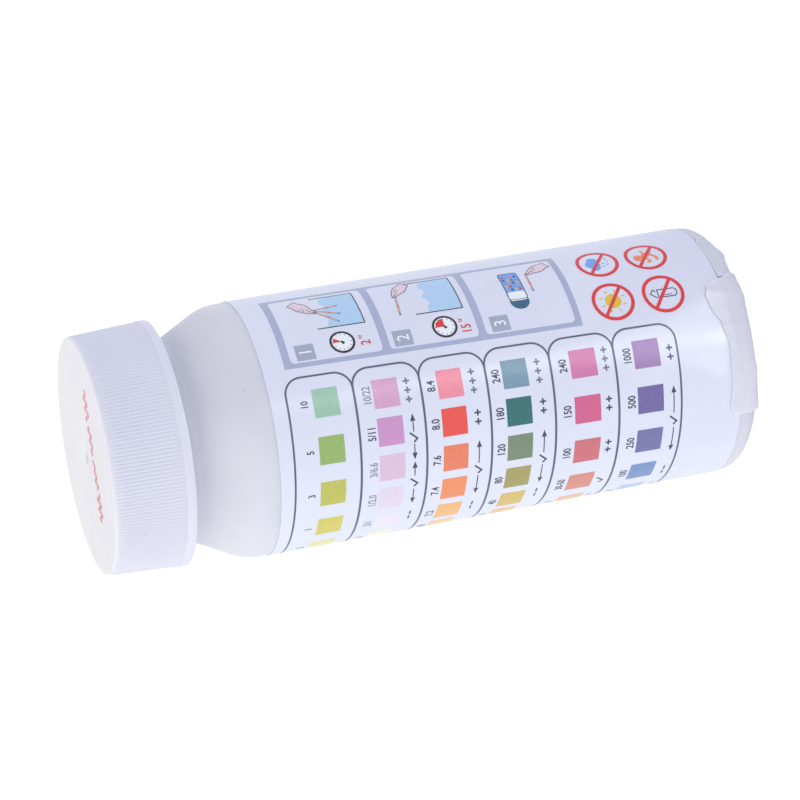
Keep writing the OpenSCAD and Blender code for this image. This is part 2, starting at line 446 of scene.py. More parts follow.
def base_weld():
    """The pinched line that blow moulding leaves across the recess under the base."""
    bm = bmesh.new()
    section = [(-WELD_W / 2, 0.05), (-WELD_W / 5, -WELD_H * 0.8), (0, -WELD_H), (WELD_W / 5, -WELD_H * 0.8),
               (WELD_W / 2, 0.05)]
    rows = []
    steps = 40
    for i in range(steps + 1):
        x = WELD_L * (i / steps - 0.5)
        taper = max(0.05, (1 - abs(2 * x / WELD_L) ** 6)) ** 0.5
        row = []
        for y, z in section:
            drop = z if z > 0 else z * taper
            row.append(bm.verts.new((x * MM, y * taper * MM, (RECESS_Z + drop) * MM)))
        rows.append(row)
    loft(bm, rows)
    add("base_weld", bm, [bottle_plastic], "bottle", angle=50)


bottle_shell()
thread("bottle_thread", NECK_R - 0.3, 16.95, 93.1, 2.0, 0.7, bottle_plastic, "bottle")
base_weld()


# -------------------------------------------- cap and what it holds
def rib_shape(r, z, k):
    """Radius of the cap's wall at mesh step k, with ribs that fade out at both ends."""
    if not (RIB_Z0 - 0.01 <= z <= RIB_Z1 + 0.3) or r < 18.0:
        return r
    fade_in = min(1.0, max(0.0, (z - RIB_Z0) / 0.35))
    fade_out = min(1.0, max(0.0, (RIB_Z1 - z) / 0.3))
    phase = (k % RIB_STEPS) / RIB_STEPS
    ridge = (0.5 + 0.5 * math.cos(FULL * phase)) ** 0.75
    return r + RIB_DEPTH * fade_in * fade_out * (ridge - 0.15)


def ribbed_wall():
    heights = [RIB_Z0 + 0.06, RIB_Z0 + 0.2, RIB_Z0 + 0.4, 94.5, 96.5, 98.5, 100.5, 102.2, RIB_Z1 - 0.3,
               RIB_Z1 - 0.15, RIB_Z1]
    lean = (RIB_HIGH_R - RIB_LOW_R) / (RIB_Z1 - RIB_Z0)
    return [(RIB_LOW_R + lean * (z - RIB_Z0), z) for z in heights]


def cap_shell():
    """Skirt, ribbed wall, face, ring for the beads and inside of the wall."""
    face = [(r, TOP_Z - dip) for r, dip in ((17.3, 0.008), (12, 0.05), (6, 0.07), (1.45, 0.08))]
    gate = [(r, TOP_Z - dip) for r, dip in ((1.25, 0.12), (1.15, 0.3), (1.1, 0.8), (0.95, 0.92), (0.5, 0.95),
                                            (0, 0.95))]
    chamber = [(0, ROOF_Z), (8, ROOF_Z), (CHAMBER_R, ROOF_Z), (CHAMBER_R, LIP_Z + 0.6), (12.6, LIP_Z + 0.5),
               (12.6, LIP_Z + 0.1), (12.75, LIP_Z), (13.8, LIP_Z), (CHAMBER_OUT_R, LIP_Z + 0.25),
               (CHAMBER_OUT_R, ROOF_Z - 0.3)]
    inside = [(14.2, ROOF_Z), (17.3, ROOF_Z), (CAP_IN_R, ROOF_Z - 0.3)]
    profile = ([(CAP_IN_R, SKIRT_Z + 0.2), (CAP_IN_R + 0.2, SKIRT_Z)]
               + arc(BAND_R - 0.3, SKIRT_Z + 0.3, 0.3, -90, 0, 4)
               + arc(BAND_R - 0.22, RIB_Z0 - 0.22, 0.22, 0, 80, 4) + ribbed_wall()
               + arc(FACE_R, TOP_Z - FACE_EDGE, FACE_EDGE, 0, 90, 8) + face + gate + chamber + inside)
    shell = add("cap_ribbed_shell", revolve(profile, RIBS * RIB_STEPS, rib_shape), [cap_plastic], "cap",
                angle=60)
    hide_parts("cap_shell")


def foam_liner():
    profile = [(14.2, RIM_Z + 0.1), (14.3, RIM_Z), (16.7, RIM_Z), (16.8, RIM_Z + 0.1), (16.8, ROOF_Z - 0.1),
               (16.7, ROOF_Z), (14.3, ROOF_Z), (14.2, ROOF_Z - 0.1)]
    ring = add("liner_foam_ring", revolve(profile, 160), [foam], "liner")
    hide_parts("cap_liner")


def paper_disc():
    low, high = DISC_Z + 0.02, DISC_Z + DISC_T - 0.04
    profile = [(0, low), (6, low), (12.7, DISC_Z), (12.93, low + 0.04), (12.93, high - 0.08), (12.8, high),
               (9, high), (0, high)]
    disc = add("paper_disc", revolve(profile, 128), [board], "dryer")
    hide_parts("desiccant_disc")


def lumpy_bead(bm, centre):
    for v in bmesh.ops.create_icosphere(bm, subdivisions=3, radius=1)["verts"]:
        d = v.co.normalized()
        lump = 0.965 + 0.05 * noise.noise(d * 1.7 + centre)
        v.co = (centre + d * BEAD_R * lump) * MM


def bead_fill():
    """Two close-packed layers of slightly irregular beads over the paper disc."""
    bm = bmesh.new()
    low_z = DISC_Z + DISC_T + BEAD_R
    for layer in (0, 1):
        for i in range(-4, 5):
            for j in range(-4, 5):
                x = BEAD_STEP * (i + j / 2 + layer / 2)
                y = BEAD_STEP * (j * math.sqrt(3) / 2 + layer / (2 * math.sqrt(3)))
                if math.hypot(x, y) <= 11.2:
                    lumpy_bead(bm, Vector((x, y, low_z + layer * BEAD_STEP * math.sqrt(2 / 3))))
    beads = add("bead_fill", bm, [bead_mat], "dryer", angle=80)
    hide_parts("desiccant_beads")


cap_shell()
thread("cap_thread", CAP_IN_R + 0.2, 17.12, 95.2, 1.6, 0.6, cap_plastic, "cap")
foam_liner()
paper_disc()
bead_fill()


# -------------------------------------------- label
def label_sheet():
    """The film once round the bottle, with a narrow gap at the back where its ends meet."""
    bm = bmesh.new()
    half_gap = 0.15 / LABEL_R
    across, upward = 260, 16
    grid = {}
    for side, r in ((0, LABEL_R - 0.13), (1, LABEL_R)):
        for i in range(across + 1):
            a = half_gap + (FULL - 2 * half_gap) * i / across
            for j in range(upward + 1):
                z = LABEL_Z0 + (LABEL_Z1 - LABEL_Z0) * j / upward
                grid[side, i, j] = bm.verts.new((-r * math.sin(a) * MM, r * math.cos(a) * MM, z * MM))
    skin_sheet(bm, grid, across, upward)
    sheet = add("label_sheet", bm, [label_film], "bottle", angle=30)
    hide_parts("wrap_label")


label_sheet()


# -------------------------------------------- print helpers, in chart millimetres
def on_label(u, w, h):
    """The place of chart point (u to the right, w towards the cap) at height h over the film."""
    z = w + ART_Z + u * SKEW
    a = (u - (z - TURN_Z) * SKEW) / LABEL_R
    r = LABEL_R + h
    return Vector((r * math.sin(a), -r * math.cos(a), z)) * MM


def on_cap(x, y, h):
    return Vector((x, y, TOP_Z - 0.045 + h * 2)) * MM


def rect(u0, w0, u1, w1, r=0.0, n=7):
    """Rectangle between two opposite corners, rounded by r."""
    u0, u1 = min(u0, u1), max(u0, u1)
    w0, w1 = min(w0, w1), max(w0, w1)
    if not r:
        return [(u0, w0), (u1, w0), (u1, w1), (u0, w1)]
    return (arc(u0 + r, w0 + r, r, 180, 270, n) + arc(u1 - r, w0 + r, r, 270, 360, n)
            + arc(u1 - r, w1 - r, r, 0, 90, n) + arc(u0 + r, w1 - r, r, 90, 180, n))


def oval(u, w, r, n=28, tall=1.0):
    return [(u + r * math.cos(FULL * i / n), w + tall * r * math.sin(FULL * i / n)) for i in range(n)]


def line(a, b, t):
    """Straight line of width t from a to b."""
    d = Vector((b[0] - a[0], b[1] - a[1])).normalized()
    nx, ny = -d.y * t / 2, d.x * t / 2
    return [(a[0] + nx, a[1] + ny), (b[0] + nx, b[1] + ny), (b[0] - nx, b[1] - ny), (a[0] - nx, a[1] - ny)]


def spoke(u, w, angle, r0, r1, t):
    """Line of width t along the ray at an angle in degrees, from radius r0 to r1 round (u, w)."""
    c, s = math.cos(math.radians(angle)), math.sin(math.radians(angle))
    return line((u + r0 * c, w + r0 * s), (u + r1 * c, w + r1 * s), t)


def mitre(d1, d2, limit):
    """Sideways offset that keeps the width of a line where its direction turns from d1 to d2."""
    n1 = Vector((-d1.y, d1.x))
    both = n1 + Vector((-d2.y, d2.x))
    return both / max(limit, both.dot(n1)) if both.length > 1e-6 else n1


def inset(outline, t):
    """The closed outline moved by t to its left, which is inwards where it runs anticlockwise."""
    out = []
    for i, (u, w) in enumerate(outline):
        here = Vector((u, w))
        d1 = here - Vector(outline[i - 1])
        d2 = Vector(outline[(i + 1) % len(outline)]) - here
        d1 = d1.normalized() if d1.length else d2.normalized()
        d2 = d2.normalized() if d2.length else d1
        out.append(tuple(here + mitre(d1, d2, 0.3) * t))
    return out


def blob(cx, cy, circles, n=60):
    """Outline of several overlapping discs, seen from (cx, cy), which lies inside their union."""
    out = []
    for i in range(n):
        d = Vector((math.cos(FULL * i / n), math.sin(FULL * i / n)))
        far = 0.0
        for x, y, r in circles:
            to_disc = Vector((x - cx, y - cy))
            k = to_disc.dot(d)
            under_root = r * r - (to_disc.length_squared - k * k)
            if under_root > 0:
                far = max(far, k + math.sqrt(under_root))
        out.append((cx + d.x * far, cy + d.y * far))
    return out


class Print:
    """Flat shapes in chart millimetres, laid on a surface as thin closed slabs."""

    def __init__(self):
        self.shapes = []
        self.mats = []

    def index(self, mat):
        if mat not in self.mats:
            self.mats.append(mat)
        return self.mats.index(mat)

    def poly(self, mat, *loops):
        """A filled outline; later loops are holes, wound the other way."""
        points = [q for loop in loops for q in loop]
        faces = tessellate_polygon([[Vector((q[0], q[1], 0)) for q in loop] for loop in loops])
        self.shapes.append((self.index(mat), points, faces))

    def stroke(self, mat, points, t, closed=False):
        """A line of width t along the points, as one ribbon with mitred corners."""
        points = [Vector(q) for q in points]
        n = len(points)
        left, right = [], []
        for i, q in enumerate(points):
            before = points[i - 1] if (i or closed) else None
            after = points[(i + 1) % n] if (i < n - 1 or closed) else None
            d1 = (q - before).normalized() if before is not None else (after - q).normalized()
            d2 = (after - q).normalized() if after is not None else d1
            side = mitre(d1, d2, 0.8) * t / 2
            left.append(tuple(q + side))
            right.append(tuple(q - side))
        faces = [(i, (i + 1) % n, n + (i + 1) % n, n + i) for i in range(n if closed else n - 1)]
        self.shapes.append((self.index(mat), left + right, faces))

    def text(self, mat, words, u, w, height, narrow=0.8, bold=0.0):
        curve = bpy.data.curves.new("t", "FONT")
        curve.body = words
        curve.align_x = "CENTER"
        curve.align_y = "CENTER"
        curve.size = 1.0
        curve.offset = bold
        curve.resolution_u = 4
        ob = bpy.data.objects.new("t", curve)
        scene.collection.objects.link(ob)
        me = bpy.data.meshes.new_from_object(ob.evaluated_get(bpy.context.evaluated_depsgraph_get()))
        bpy.data.objects.remove(ob)
        ys = [v.co.y for v in me.vertices]
        k = height / (max(ys) - min(ys))
        mid = (max(ys) + min(ys)) / 2
        points = [(u + v.co.x * k * narrow, w + (v.co.y - mid) * k) for v in me.vertices]
        self.shapes.append((self.index(mat), points, [tuple(f.vertices) for f in me.polygons]))

    def flat(self):
        """All shapes in one flat mesh."""
        bm = bmesh.new()
        for idx, points, faces in self.shapes:
            vs = [bm.verts.new((q[0], q[1], 0)) for q in points]
            for f in faces:
                bm.faces.new([vs[k] for k in f]).material_index = idx
        bmesh.ops.remove_doubles(bm, verts=bm.verts, dist=0.0008)
        return bm

    def make(self, name, layer, body="bottle", slot="label_paper", place=on_label, split=0.55):
        """Builds the print, cut every split mm so that it can follow a round surface."""
        bm = self.flat()
        if split:
            us = [v.co.x for v in bm.verts]
            for k in range(math.ceil(min(us) / split), math.ceil(max(us) / split)):
                bmesh.ops.bisect_plane(bm, geom=bm.verts[:] + bm.edges[:] + bm.faces[:], dist=1e-5,
                                       plane_co=(k * split, 0, 0), plane_no=(1, 0, 0))
        for f in bm.faces:
            if f.normal.z < 0:
                f.normal_flip()
        raised = bmesh.ops.extrude_face_region(bm, geom=bm.faces[:], use_keep_orig=True)["geom"]
        for v in raised:
            if isinstance(v, bmesh.types.BMVert):
                v.co.z = INK_THICK
        low = INK_LIFT + INK_STEP * layer
        for v in bm.verts:
            v.co = place(v.co.x, v.co.y, low + v.co.z)
        add(name, bm, self.mats, body, smooth=False)


GAIN = 1.12              # lifts the inks a little, to hold their tone in the studio's light
line_ink = ink("ink_frame_line", (92, 98, 122), spread=0.05)
text_ink = ink("ink_dark_grey", (70, 74, 92), spread=0.05)
faint_ink = ink("ink_mid_grey", (150, 152, 172), spread=0.05)
soft_ink = ink("ink_soft_grey", (112, 116, 136), spread=0.05)
black_ink = ink("ink_black", (38, 38, 48), spread=0.05)
grey_ink = ink("ink_panel_grey", (168, 175, 201), GAIN, 0.02)
box_ink = ink("ink_number_box", (163, 170, 190), GAIN, 0.03)
white_ink = ink("ink_white", (236, 240, 252), GAIN, 0.01)
red_ink = ink("ink_red", (222, 50, 52), GAIN, 0.04)
water_ink = ink("ink_water", (176, 208, 236), GAIN, 0.03)
skin_ink = ink("ink_hand", (226, 205, 214), GAIN, 0.02)
strip_ink = ink("ink_strip", (188, 158, 160), GAIN, 0.05)
blue_ink = ink("ink_blue", (110, 165, 235), GAIN, 0.04)
orange_ink = ink("ink_orange", (235, 140, 95), GAIN, 0.04)
yellow_ink = ink("ink_yellow", (222, 190, 50), GAIN, 0.04)
teal_ink = ink("ink_teal", (50, 95, 125), GAIN, 0.05)
PAD_INKS = [red_ink, orange_ink, yellow_ink, blue_ink, teal_ink]

# -------------------------------------------- six scales of colour squares
ROW_LEFT, ROW_RIGHT = -38.6, 6.05
ROW_EDGES = [32.92, 22.49, 12.03, 1.57, -8.89, -19.35, -29.8]
SQUARE_W = 4.36
SQUARE_RIGHT = 3.9
FAINT_ROW = 1            # its numbers are printed paler, but for the second
# each row: step from square to square, their upper and lower edge, height of the numbers, numbers, colours
ROW_DATA = [
    (7.25, 28.95, 24.95, 30.33, ["10", "5", "3", "1", ".5", "0"],
     [(155, 195, 170), (149, 181, 101), (188, 190, 86), (208, 200, 90), (226, 220, 130), (236, 234, 190)]),
    (5.82, 19.6, 15.55, 20.58, ["10/22", "5/11", "3/6.6", "1/2.0", ".5/1", "0"],
     [(214, 161, 197), (202, 146, 194), (218, 190, 212), (222, 212, 228), (228, 224, 234), (236, 234, 205)]),
    (5.86, 9.4, 5.4, 10.45, ["8.4", "8.0", "7.6", "7.4", "7.2", "6.8"],
     [(247, 141, 156), (234, 81, 69), (230, 128, 94), (238, 142, 96), (238, 180, 110), (240, 192, 112)]),
    (5.86, -1.0, -5.1, 0.06, ["240", "180", "120", "80", "40", "0"],
     [(118, 150, 168), (44, 110, 108), (118, 138, 108), (162, 156, 88), (210, 182, 92), (236, 178, 90)]),
    (7.2, -12.05, -16.35, -10.85, ["240", "150", "100", "30-50", "0"],
     [(206, 118, 166), (209, 98, 137), (204, 112, 118), (212, 138, 120), (238, 172, 110)]),
    (7.2, -22.5, -26.8, -21.45, ["1000", "500", "250", "100", "0"],
     [(158, 124, 176), (114, 102, 159), (116, 112, 162), (114, 144, 192), (170, 188, 222)]),
]


def row_outline(pr, i):
    """Rounded frame line round row i."""
    outline = rect(ROW_LEFT, ROW_EDGES[i + 1], ROW_RIGHT, ROW_EDGES[i], 2.7, 10)
    grown = inset(outline[::-1], 0.13)
    pr.poly(line_ink, grown[::-1], inset(outline, 0.17))


def number(pr, i, k, value, right, w):
    """The number over square k of row i."""
    mat = faint_ink if i == FAINT_ROW and k != 1 else text_ink
    height = 1.3 if i else 1.15
    narrow = 0.8 if len(value) < 4 else 0.72
    pr.text(mat, value, right - SQUARE_W / 2 - 0.02, w, height, narrow, 0.02)


def colour_rows():
    outlines = [Print(), Print()]
    numbers = Print()
    for i, (step, high, low, number_w, values, colours) in enumerate(ROW_DATA):
        row_outline(outlines[i % 2], i)
        squares = Print()
        for k, (value, colour) in enumerate(zip(values, colours)):
            right = SQUARE_RIGHT - k * step
            mat = ink(f"ink_row{i + 1}_{k + 1}", colour, GAIN)
            squares.poly(mat, rect(right - SQUARE_W, low, right, high))
            number(numbers, i, k, value, right, number_w)
        squares.make(f"colour_row_{i + 1}", 0)
    outlines[0].make("row_outlines_a", 0)
    outlines[1].make("row_outlines_b", 1)
    numbers.make("scale_numbers", 0)


# marks under the squares: sign, how many, centre u and w
SIGNS = [
    ("+", 3, 1.7, 14.15), ("v", 1, -5.6, 14.0), ("v", 1, -13.3, 14.0), ("-", 2, -20.9, 13.9),
    ("+", 3, 1.6, 3.8), ("+", 2, -3.99, 3.65), ("v", 1, -12.8, 3.65), ("-", 2, -21.3, 3.65),
    ("+", 3, 1.6, -6.8), ("+", 2, -3.85, -6.95), ("v", 1, -12.8, -6.95), ("-", 2, -20.8, -6.95),
    ("+", 3, 1.9, -17.8), ("+", 2, -5.05, -17.7), ("+", 2, -12.4, -17.7), ("v", 1, -20.4, -17.7),
    ("-", 2, -27.4, -17.7),
    ("+", 2, 1.4, -28.5), ("v", 1, -9.6, -28.5), ("-", 2, -20.7, -28.6), ("-", 2, -27.4, -28.6),
]
# arrows beside the ticks: tail u, head u, w
ARROWS = [
    (-4.7, -1.9, 14.0), (-6.6, -9.2, 14.0), (-12.0, -9.5, 14.0), (-14.6, -17.6, 14.0),
    (-11.6, -7.7, 3.65), (-14.0, -17.9, 3.65), (-11.6, -7.7, -6.95), (-14.0, -17.9, -6.95),
    (-8.3, -3.8, -28.5), (-10.9, -15.6, -28.6),
]
SIGN_STEP = 1.4
MARK_T = 0.27            # stroke of a sign
ARROW_T = 0.17
HEAD_L = 1.15
HEAD_H = 0.42


def arrow(pr, tail, head, w):
    """A thin line with a solid head."""
    neck = head - math.copysign(HEAD_L, head - tail)
    pr.poly(text_ink, line((tail, w), (neck, w), ARROW_T))
    pr.poly(text_ink, [(head, w), (neck, w + HEAD_H), (neck, w - HEAD_H)])


def sign(pr, mat, kind, u, w, half=0.5):
    """One plus, minus or tick (v)."""
    if kind == "v":
        pr.stroke(mat, [(u - 0.75, w + 0.05), (u - 0.2, w - 0.5), (u + 0.8, w + 0.65)], MARK_T)
        return
    pr.poly(mat, line((u - half, w), (u + half, w), MARK_T))
    if kind == "+":
        pr.poly(mat, line((u, w - half), (u, w - MARK_T / 2), MARK_T))
        pr.poly(mat, line((u, w + MARK_T / 2), (u, w + half), MARK_T))


def level_marks():
    pr = Print()
    for kind, count, u, w in SIGNS:
        mat = soft_ink if count == 3 else text_ink
        for q in range(count):
            sign(pr, mat, kind, u + (q - (count - 1) / 2) * SIGN_STEP, w)
    for tail, head, w in ARROWS:
        arrow(pr, tail, head, w)
    pr.make("level_marks", 0)


colour_rows()
level_marks()

# -------------------------------------------- three-step panel beside the scales
BOX_TOPS = [29.85, 14.45, -1.15]
OUTLINE_T = 0.17


def step_frame():
    """Grey frame with three windows, a number box in each and its number."""
    frame_print, digits = Print(), Print()
    window_edges = [(16.45, 30.95), (1.05, 15.25), (-14.55, -0.1)]
    windows = [rect(8.35, low, 22.6, high, 0.7)[::-1] for low, high in window_edges]
    frame_print.poly(grey_ink, rect(7.58, -15.55, 23.3, 32.1), *windows)
    for i, top in enumerate(BOX_TOPS):
        frame_print.poly(box_ink, rect(8.65, top - 3.0, 11.4, top))
        digits.text(white_ink, str(i + 1), 10.02, top - 1.5, 1.9, 0.9, 0.006)
    frame_print.make("step_frame", 0)
    digits.make("step_numbers", 1)


fills, outlines, details, fine_lines, top_marks = Print(), Print(), Print(), Print(), Print()


def tank(u0, u1, w0, w1, level, lip):
    """Water with a rippled top in an open tank; its left wall ends at lip and its right one at w1."""
    ripples = []
    for i in range(17):
        ripples.append((u0 + (u1 - u0) * i / 16, level + 0.35 * math.sin(i * 1.1) + 0.18 * math.sin(i * 2.7)))
    fills.poly(water_ink, [(u0, w0), (u1, w0)] + ripples[::-1])
    outlines.stroke(black_ink, [(u0, lip), (u0, w0), (u1, w0), (u1, w1)], OUTLINE_T)


def hand(u, w, turn, k=1.0):
    """A plain pinching hand whose fingertips meet at (u, w); turn is its forearm's direction."""
    c, s = math.cos(math.radians(turn)), math.sin(math.radians(turn))

    def at(x, y):
        return (u + k * (x * c - y * s), w + k * (x * s + y * c))

    palm = [(0.0, 0.25), (0.9, 0.75), (1.9, 1.15), (2.9, 1.2), (3.7, 1.0), (4.6, 0.85), (4.6, -0.75),
            (3.7, -0.7), (3.0, -0.95), (2.2, -0.85), (1.3, -0.45), (0.5, -0.25), (0.0, -0.1)]
    outline = [at(*q) for q in palm]
    details.poly(skin_ink, outline[::-1])
    fine_lines.stroke(black_ink, outline, 0.1, closed=True)
    fine_lines.stroke(black_ink, [at(0.1, 0.08), at(1.0, 0.2), at(1.7, 0.1)], 0.1)
    fine_lines.stroke(black_ink, [at(1.6, 0.75), at(2.1, 0.5), at(2.3, 0.15)], 0.09)
    fine_lines.stroke(black_ink, [at(2.2, 0.95), at(2.6, 0.65)], 0.09)


def dip_strip(a, b, t=0.34):
    """A test strip from a to b, with five pads towards b."""
    def along(share):
        return (a[0] + (b[0] - a[0]) * share, a[1] + (b[1] - a[1]) * share)

    details.poly(strip_ink, line(a, b, t))
    for i, mat in enumerate(PAD_INKS):
        start = 0.55 + 0.1 * i
        fine_lines.poly(mat, line(along(start), along(start + 0.05), t * 0.8))


def clock(u, w, sweep):
    """A clock face with twelve ticks, a thick hub and a red sector of sweep degrees after twelve."""
    details.poly(white_ink, oval(u, w, 1.75, 36))
    fine_lines.poly(black_ink, oval(u, w, 1.98, 40), oval(u, w, 1.62, 40)[::-1])
    fine_lines.poly(red_ink, [(u, w)] + arc(u, w, 1.45, 90 - sweep, 90, 8))
    top_marks.stroke(black_ink, [(u - 0.35, w - 0.2), (u, w), (u + 0.12, w - 0.1)], 0.42)
    for q in range(12):
        top_marks.poly(black_ink, spoke(u, w, 30 * q, 1.3, 1.5, 0.1))


def seconds(value, u, w, mark_u, mark_w):
    """A red number and the double-prime sign of the second."""
    top_marks.text(red_ink, value, u, w, 1.5, 0.8, 0.01)
    for d in (0, 0.35):
        top_marks.poly(red_ink, line((mark_u + d, mark_w + 0.3), (mark_u + d - 0.08, mark_w - 0.2), 0.16))


def bottle_pictogram():
    """A small bottle lying down, with a grid of colour squares for its chart."""
    fills.poly(blue_ink, rect(14.4, -8.45, 20.3, -5.45, 0.5))
    fills.poly(teal_ink, oval(13.55, -6.95, 1.55))
    details.poly(white_ink, rect(13.7, -8.3, 15.6, -5.6, 0.3))
    for a in range(5):
        for b in range(4):
            u, w = 15.9 + a * 0.78, -8.1 + b * 0.66
            fine_lines.poly(PAD_INKS[(a + 2 * b) % 5], rect(u, w, u + 0.5, w + 0.35))
    fine_lines.poly(black_ink, rect(13.9, -8.5, 20.35, -5.4, 0.5), rect(14.0, -8.4, 20.25, -5.5, 0.45)[::-1])


def step_pictures():
    tank(13.95, 21.8, 17.85, 24.6, 23.2, 25.3)
    for a, b in (((17.9, 24.9), (14.9, 21.6)), ((18.1, 24.8), (16.6, 21.0)), ((18.3, 24.8), (18.7, 20.9))):
        dip_strip(a, b)
    hand(17.6, 24.6, 42)
    clock(10.88, 22.28, 32)
    seconds("2", 10.2, 18.8, 11.15, 19.35)

    tank(13.95, 22.0, 2.2, 9.2, 7.2, 9.7)
    dip_strip((18.9, 11.6), (14.3, 12.1))
    hand(18.4, 11.9, -38, 0.95)
    clock(10.9, 6.0, 90)
    seconds("15", 10.0, 2.75, 11.45, 3.3)

    dip_strip((19.6, -9.8), (15.2, -9.75))
    hand(19.2, -10.0, -62, 0.95)
    bottle_pictogram()

    fills.make("step_fills", 0)
    outlines.make("step_outlines", 1)
    details.make("step_details", 1)
    fine_lines.make("step_lines", 2)
    top_marks.make("step_marks", 3)


step_frame()
step_pictures()

# -------------------------------------------- four keep-away signs, freely drawn
rings, icons, icon_tops = Print(), Print(), Print()


def keep_away(u, w):
    """Red ring with a slanted bar."""
    rings.poly(red_ink, oval(u, w, 3.42, 48), oval(u, w, 2.86, 48)[::-1])
    rings.poly(red_ink, spoke(u, w, -36, -2.85, 2.85, 0.52))


def rain(u, w):
    puffs = [(-1.05, 0.6, 0.8), (-0.1, 1.05, 0.95), (0.9, 0.65, 0.8), (-0.4, 0.25, 0.6), (0.4, 0.25, 0.6),
             (0.0, 0.6, 0.7)]
    icons.poly(blue_ink, blob(u, w + 0.65, [(u + du, w + dw, r) for du, dw, r in puffs]))
    drops = [(-1.0, -0.7), (-0.2, -0.9), (0.6, -0.7), (1.3, -0.9), (-0.6, -1.5), (0.25, -1.7), (1.0, -1.55)]
    for du, dw in drops:
        icons.poly(blue_ink, oval(u + du, w + dw, 0.15, 8, 1.7))


def figure(u, w):
    """A small figure of a head, a leaning body, two arms and two legs."""
    body = []
    for i in range(24):
        a = math.pi * i / 12
        body.append((u + 0.3 + 0.62 * math.cos(a) - 0.32 * math.sin(a), w - 0.15 + 0.95 * math.sin(a)))
    icon_tops.poly(orange_ink, oval(u - 0.3, w + 1.35, 0.78, 20))
    icon_tops.poly(orange_ink, body)
    icons.stroke(orange_ink, [(u - 0.4, w + 0.2), (u - 1.4, w - 0.35), (u - 1.75, w + 0.25)], 0.42)
    icons.stroke(orange_ink, [(u + 0.7, w + 0.1), (u + 1.7, w + 0.35)], 0.42)
    icons.stroke(orange_ink, [(u + 0.3, w - 0.8), (u - 0.6, w - 1.6), (u - 1.4, w - 1.5)], 0.5)
    icons.stroke(orange_ink, [(u + 0.7, w - 0.7), (u + 1.6, w - 1.3)], 0.5)


def sun(u, w):
    icons.poly(yellow_ink, oval(u, w, 1.3, 30))
    for q in range(8):
        a = math.radians(45 * q + 22)
        c, s = math.cos(a), math.sin(a)
        corners = ((2.35, 0), (1.7, 0.2), (1.7, -0.2))
        ray = [(u + r * c - side * s, w + r * s + side * c) for r, side in corners]
        icons.poly(yellow_ink, ray)


def tube(u, w):
    """A lidded tube in outline."""
    icons.stroke(text_ink, [(u - 0.7, w + 0.9), (u - 0.7, w - 1.8), (u - 0.4, w - 2.2), (u + 0.4, w - 2.2),
                            (u + 0.7, w - 1.8), (u + 0.7, w + 0.9)], OUTLINE_T, closed=True)
    lid = [(u - 0.75, w + 1.15), (u + 0.1, w + 2.1), (u + 0.8, w + 1.55), (u + 0.4, w + 1.2)]
    icons.stroke(text_ink, lid, OUTLINE_T)
    icons.stroke(text_ink, [(u - 0.35, w + 0.4), (u - 0.35, w - 1.4)], 0.12)


for draw, u, w in ((rain, 19.4, -21.8), (figure, 19.4, -29.9), (sun, 10.96, -21.5), (tube, 11.05, -29.85)):
    keep_away(u, w)
    draw(u, w)
icons.make("keep_away_icons", 0)
icon_tops.make("keep_away_figure", 1)
rings.make("keep_away_rings", 2)


# -------------------------------------------- back of the label
def text_rules(pr, u, w, step, lengths):
    """Grey rules in place of lines of text, each 0.8 high; a length of 0 leaves one out."""
    for j, length in enumerate(lengths):
        if length:
            pr.poly(box_ink, rect(u, w - j * step, u + length, w + 0.8 - j * step, 0.2))


def back_art():
    """A plain drop over waves, rules in place of text, and a small card of five colours."""
    pr = Print()
    drop = []
    for i in range(64):
        a = FULL * i / 64
        drop.append((46.5 + 7.0 * math.sin(a) * math.sin(a / 2) ** 1.5, 16.4 + 9.6 * math.cos(a)))
    pr.poly(water_ink, drop)
    for j, mat in enumerate((blue_ink, water_ink, blue_ink)):
        crest = [(33 + i * 0.55, 1.5 - 3 * j + 0.8 * math.sin(i * 0.55 + j)) for i in range(50)]
        pr.poly(mat, [(u, w - 1.1) for u, w in crest] + crest[::-1])
    text_rules(pr, 33, -10.5, 2.4, [k * 0.75 for k in (33, 36, 30, 36, 34, 22, 36, 31, 18)])
    text_rules(pr, -61, 28, 2.6, [18, 17, 19, 15, 18, 12, 0, 18, 16, 19, 17, 18, 14, 9])
    pr.poly(grey_ink, rect(-61, -30, -41, -12, 1.2), rect(-60.4, -29.4, -41.6, -12.6, 0.9)[::-1])
    for j, mat in enumerate(PAD_INKS):
        pr.poly(mat, rect(-59 + j * 3.4, -22, -56.6 + j * 3.4, -19.6))
    pr.make("back_art", 0)


back_art()

# -------------------------------------------- generic red wave on the cap's face
WAVE_STEPS = 180
WAVES = 13
WAVE_CUTS = [(0, 41), (48, 85), (92, 133), (140, 181)]


def cap_wave_mark():
    """A wavy line in four pieces, bent a little at its middle."""
    red = ink("ink_cap_red", (252, 150, 142), 1.1, 0.12, 0.35)
    right, middle, left = Vector((9.8, -7.7)), Vector((-0.7, -5.6)), Vector((-10.2, -4.0))
    along = (left - right).normalized()
    across = Vector((-along.y, along.x))
    wave = []
    for i in range(WAVE_STEPS + 1):
        t = i / WAVE_STEPS
        q = right.lerp(middle, t * 2) if t < 0.5 else middle.lerp(left, t * 2 - 1)
        swing = 0.8 + 0.3 * math.sin(9 * t)
        wave.append(tuple(q + across * swing * math.sin(FULL * WAVES * t)))
    pr = Print()
    for start, stop in WAVE_CUTS:
        pr.stroke(red, wave[start:stop], 0.52)
    pr.make("cap_wave_mark", 0, "cap", "cap_plastic", on_cap, 0)


cap_wave_mark()

# -------------------------------------------- clear tab over the heel
TAB_TOP_Z = 6.5          # s, the distance down the tab's path, is 0 here
TAB_WALL = 3.0           # length of the path down the film
TAB_STEP = 1.0           # and of its step in from the film to the bottle


